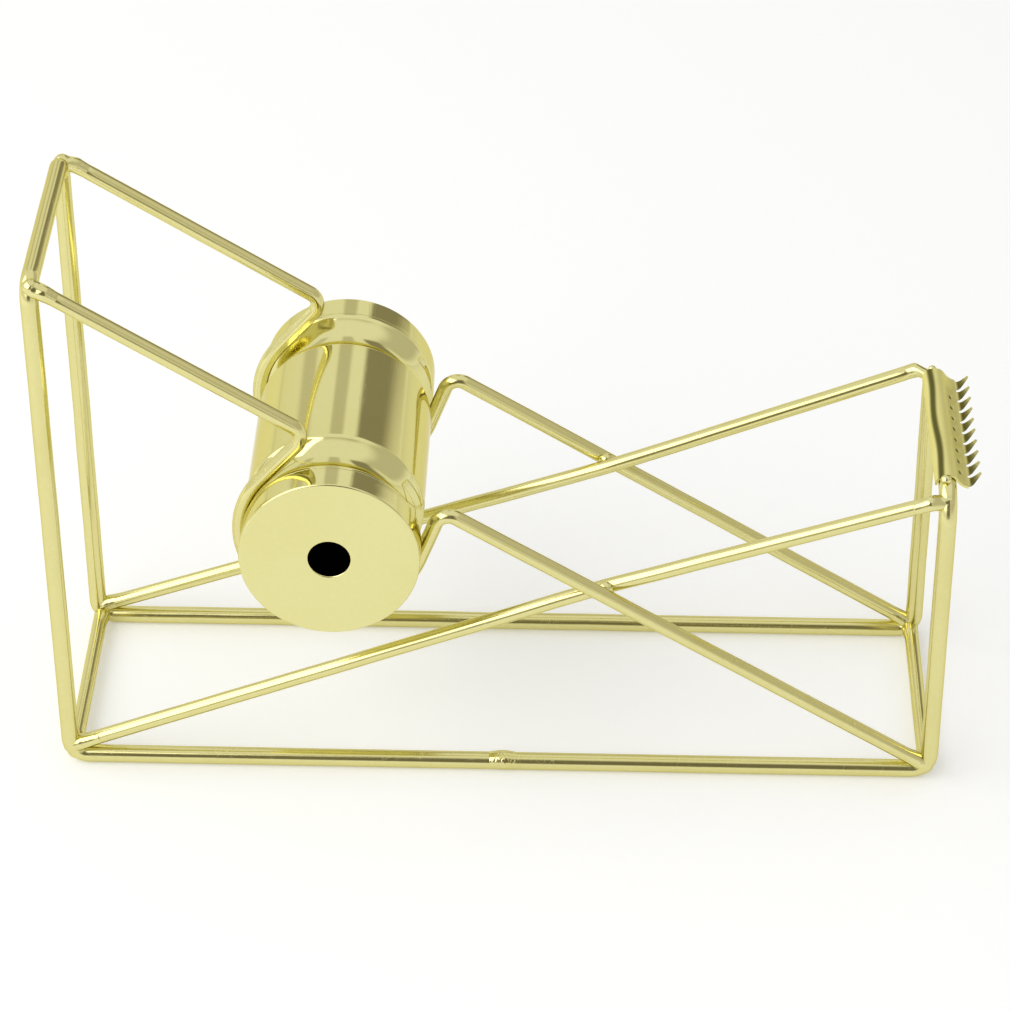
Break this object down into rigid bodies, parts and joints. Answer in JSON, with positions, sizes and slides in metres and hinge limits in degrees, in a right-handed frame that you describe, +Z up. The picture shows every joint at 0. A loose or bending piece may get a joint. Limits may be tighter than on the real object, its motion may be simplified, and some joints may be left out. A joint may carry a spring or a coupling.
{
  "type": "washi tape dispenser",
  "caption": "Open desk dispenser for washi tape: a welded frame of bent gold-plated wire with a tall rear arch, cradle wires that carry a loose grooved spool, and a toothed cutter.",
  "frame": {"origin": "on the table, in the middle of the four posts of the frame", "axes": "+X along the frame to the cutter, +Y to the far side along the spool's axis, +Z up"},
  "size_m": [0.1549, 0.0566, 0.097],
  "materials": {
    "wire": "polished gold plating on drawn wire",
    "cutter": "gold plating on stamped sheet, a little duller than the wire",
    "spool": "mirror-polished gold plating",
    "weld": "gold-plated weld beads, slightly uneven"
  },
  "bodies": {
    "frame": {"frame_loop": "wire", "near_cradle_wire": "wire", "far_cradle_wire": "wire", "near_brace_wire": "wire", "far_brace_wire": "wire", "rear_base_tie": "wire", "front_base_tie": "wire", "cutter_blade": "cutter", "rear_top_welds": "weld", "front_bottom_welds": "weld", "rear_bottom_welds": "weld", "front_top_welds": "weld", "rear_tie_welds": "weld", "front_tie_welds": "weld", "crossing_welds": "weld", "loop_butt_weld": "weld", "blade_welds": "weld"},
    "spool": {"spool_barrel": "spool", "near_spool_cap": "spool", "far_spool_cap": "spool"}
  },
  "joints": [
    {"name": "spool_spin", "type": "hinge", "parent": "frame", "child": "spool", "pos_m": [-0.0274, 0, 0.0494], "axis": [0, 1, 0], "continuous": true}
  ]
}
